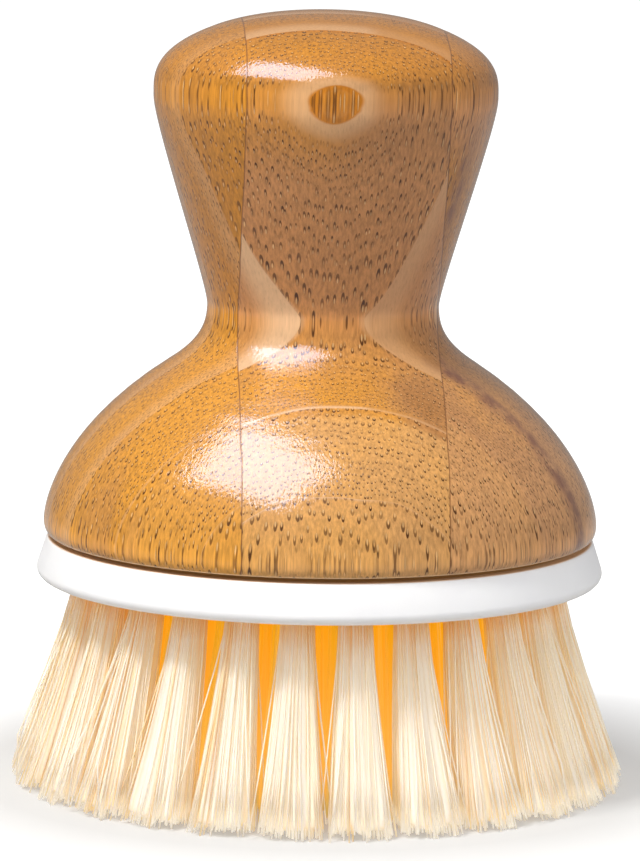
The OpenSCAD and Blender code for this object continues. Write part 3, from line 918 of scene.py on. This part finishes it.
def bristle_piece(name, node, row, numbers, seed):
    """One piece for a node: the tufts of a row with these numbers, joined in one mesh."""
    rng = np.random.default_rng(seed)
    tufts = [filaments(rng, row, i, FILAMENTS[row], THICK[row], STRAY[row]) for i in numbers]
    hearts = [heart(rng, row, i) for i in numbers]
    points, along, tone = (np.concatenate(part) for part in zip(*tufts, *hearts))
    first = sum(len(tuft[0]) for tuft in tufts)
    first = first + len(hearts[0][0]) * np.arange(len(hearts))[:, None, None]
    heart_quads = circle_quads(HEART_RINGS, HEART_SIDES) + first
    heart_triangles = pole_triangles(HEART_RINGS, HEART_SIDES) + first
    quads = np.vstack([filament_quads(FILAMENTS[row] * len(tufts)), heart_quads.reshape(-1, 4)])
    piece = new_piece(name, points, quads, heart_triangles.reshape(-1, 3),
                      amber if row else cream)
    for label, values in (("along", along), ("tone", tone)):
        kept = piece.data.attributes.new(label, "FLOAT", "POINT")
        kept.data.foreach_set("value", values.astype(np.float32))
    return stand_for(piece, node)


bristles = [
    bristle_piece(f"cream_bristles_{i}", f"outer_tuft_{i}", 0, [i], 100 + i)
    for i in range(1, COUNT[0] + 1)]
bristles += [
    bristle_piece(f"amber_bristles_{i}", f"second_tuft_{i}", 1, [i], 200 + i)
    for i in range(1, COUNT[1] + 1)]
bristles += [
    bristle_piece(f"amber_{word}_row", f"{word}_row_tufts", row, range(1, COUNT[row] + 1),
                  300 + row)
    for row, word in ((2, "third"), (3, "fourth"), (4, "fifth"))]
print("bristle faces:", sum(len(piece.data.polygons) for piece in bristles))

# %% [markdown]
# ## Studio
#
# A product picture on white. A small key light above the left shoulder of the camera throws
# the shadow of the plate's rim on the tufts. A large softbox in the same direction is seen
# in the lacquer alone, as the bright patches on the knob, the neck and the dome. Two large
# fills lighten the shadows and aren't mirrored. A white surround and a white table do the
# rest.
#
# The table is brighter in the picture than it is to the brush, most of all away from it, as
# on a table that is lit from below: only rays from the lens see that light.

# %% Table
TABLE_HALF = 8.0
LIT_FROM, LIT_TO = 46 * MM, 85 * MM
LIT_NEAR, LIT_AWAY = 0.26, 0.85
# Faint clouds of about 17 mm
CLOUDS_PER_METRE = 60.0

paper, tree = new_material("matt_white_table")
place = add_node(tree, "TexCoord").outputs["Object"]
clouds = add_node(tree, "TexNoise", Vector=place, Scale=CLOUDS_PER_METRE, Detail=2.0)
tone = add_node(tree, "Mix", COLOURS, clouds, linear("#ACACAC"), linear("#B0B0B0"))
away = add_node(tree, "VectorMath", "LENGTH", place)
lit = add_node(tree, "MapRange", None, away, LIT_FROM, LIT_TO, LIT_NEAR, LIT_AWAY)
lit = add_node(tree, "Math", "MULTIPLY",
               add_node(tree, "LightPath").outputs["Is Camera Ray"], lit)
shader = add_node(
    tree, "BsdfPrincipled", Base_Color=tone, Roughness=0.9, Specular_IOR_Level=0.1,
    Emission_Color=(1, 1, 1, 1), Emission_Strength=lit)
add_node(tree, "OutputMaterial", Surface=shader)
corners = np.array([[-1, -1, 0], [1, -1, 0], [1, 1, 0], [-1, 1, 0]]) * TABLE_HALF
floor = new_piece("white_table", corners, [[0, 1, 2, 3]], [], paper)
print("table:", 2 * TABLE_HALF, "m wide")

# %% Lights
def softbox(name, azimuth, rise, distance, size, power, colour="#FFFFFF"):
    """A rectangular light that faces the middle of the brush, of a size in metres and a
    power in watts. azimuth is in degrees to the right of the camera and rise above the
    table."""
    light = bpy.data.lights.new(name, "AREA")
    light.shape = "RECTANGLE"
    light.size, light.size_y = size
    light.energy = power
    light.color = linear(colour)[:3]
    lamp = new_object(name, light)
    a, e = math.radians(azimuth), math.radians(rise)
    away = np.array([math.sin(a) * math.cos(e), -math.cos(a) * math.cos(e), math.sin(e)])
    lamp.location = (0, 0, AIM_HEIGHT) + away * distance
    lamp.rotation_euler = (math.pi / 2 - e, 0, a)
    return lamp


unmirrored = (
    softbox("key_left", azimuth=-50, rise=60, distance=0.8, size=(0.16, 0.12), power=4.9,
            colour="#FFFCF6"),
    softbox("fill_front", azimuth=-10, rise=56, distance=1.2, size=(1.0, 0.7), power=5.8),
    softbox("fill_right", azimuth=88, rise=20, distance=1.2, size=(1.0, 0.7), power=2.6))
for lamp in unmirrored:
    lamp.visible_glossy = False
sheen = softbox("softbox_left", azimuth=-50, rise=63, distance=0.8, size=(0.62, 0.42),
                power=11.5, colour="#D8E4FF")
sheen.visible_diffuse = False

# Mirrored in the brush, the surround is dimmer, as if dark flags stood around the set
SURROUND, FLAGS = 0.5, -0.22

world = bpy.data.worlds.new("white_surround")
bpy.context.scene.world = world
world.use_nodes = True
tree = world.node_tree
tree.nodes.clear()
mirrored = add_node(tree, "LightPath").outputs["Is Glossy Ray"]
surround = add_node(tree, "Background", None, linear("#FFFFFF"),
                    add_node(tree, "Math", "MULTIPLY_ADD", mirrored, FLAGS, SURROUND))
add_node(tree, "OutputWorld", Surface=surround)
bpy.context.scene.view_settings.view_transform = "Standard"
print("lights ready")
